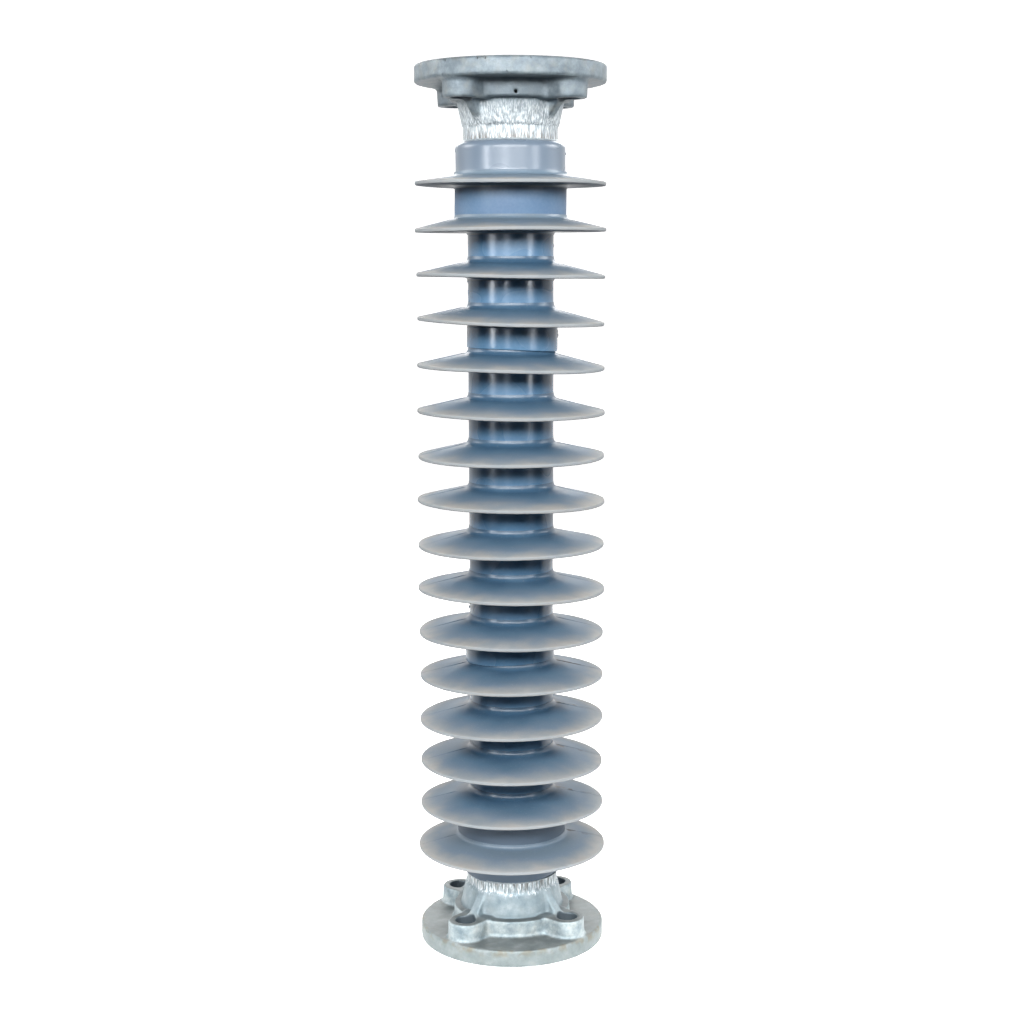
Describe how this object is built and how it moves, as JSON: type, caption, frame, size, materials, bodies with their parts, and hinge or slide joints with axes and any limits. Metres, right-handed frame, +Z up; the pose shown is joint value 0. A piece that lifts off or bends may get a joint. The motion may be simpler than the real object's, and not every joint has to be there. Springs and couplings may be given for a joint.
{
  "type": "composite station post insulator",
  "caption": "Upright post insulator: a glass-fibre rod in grey-blue silicone rubber with evenly spaced sheds, bonded into a galvanised cast flange with bolt lugs at each end.",
  "frame": {"origin": "centre of the lower flange's mounting face, on the post's axis", "axes": "+Z up along the post's axis, from the lower flange to the upper one; the bolt holes lie on the diagonals between X and Y"},
  "size_m": [0.1668, 0.1668, 0.77],
  "materials": {
    "glass_fibre": "pultruded glass-fibre epoxy rod, ground smooth",
    "galvanised_casting": "ductile iron casting, hot-dip galvanised, mottled",
    "epoxy": "filled epoxy adhesive, cured in the joint",
    "pad_rubber": "cut silicone sheet",
    "o_ring_rubber": "moulded nitrile cord, matt",
    "sealant": "room-temperature vulcanised silicone bead",
    "silicone_boot": "moulded grey-blue silicone rubber, semi-gloss",
    "silicone_sheath": "extruded grey-blue silicone rubber, glossy",
    "joint_rubber": "moulded-over silicone band, high gloss",
    "silicone_shed": "moulded silicone rubber, satin, dusty towards the rim"
  },
  "bodies": {
    "root": {"core_rod": "glass_fibre", "upper_flange": "galvanised_casting", "lower_flange": "galvanised_casting", "upper_epoxy_bond": "epoxy", "lower_epoxy_bond": "epoxy", "upper_end_pad": "pad_rubber", "lower_end_pad": "pad_rubber", "upper_o_ring": "o_ring_rubber", "lower_o_ring": "o_ring_rubber", "upper_sealant_bead": "sealant", "lower_sealant_bead": "sealant", "upper_boot": "silicone_boot", "lower_boot": "silicone_boot", "upper_sheath": "silicone_sheath", "middle_sheath": "silicone_sheath", "lower_sheath": "silicone_sheath", "upper_joint_sleeve": "joint_rubber", "lower_joint_sleeve": "joint_rubber", "shed_01": "silicone_shed", "shed_02": "silicone_shed", "shed_03": "silicone_shed", "shed_04": "silicone_shed", "shed_05": "silicone_shed", "shed_06": "silicone_shed", "shed_07": "silicone_shed", "shed_08": "silicone_shed", "shed_09": "silicone_shed", "shed_10": "silicone_shed", "shed_11": "silicone_shed", "shed_12": "silicone_shed", "shed_13": "silicone_shed", "shed_14": "silicone_shed", "shed_15": "silicone_shed", "shed_16": "silicone_shed"}
  },
  "joints": []
}
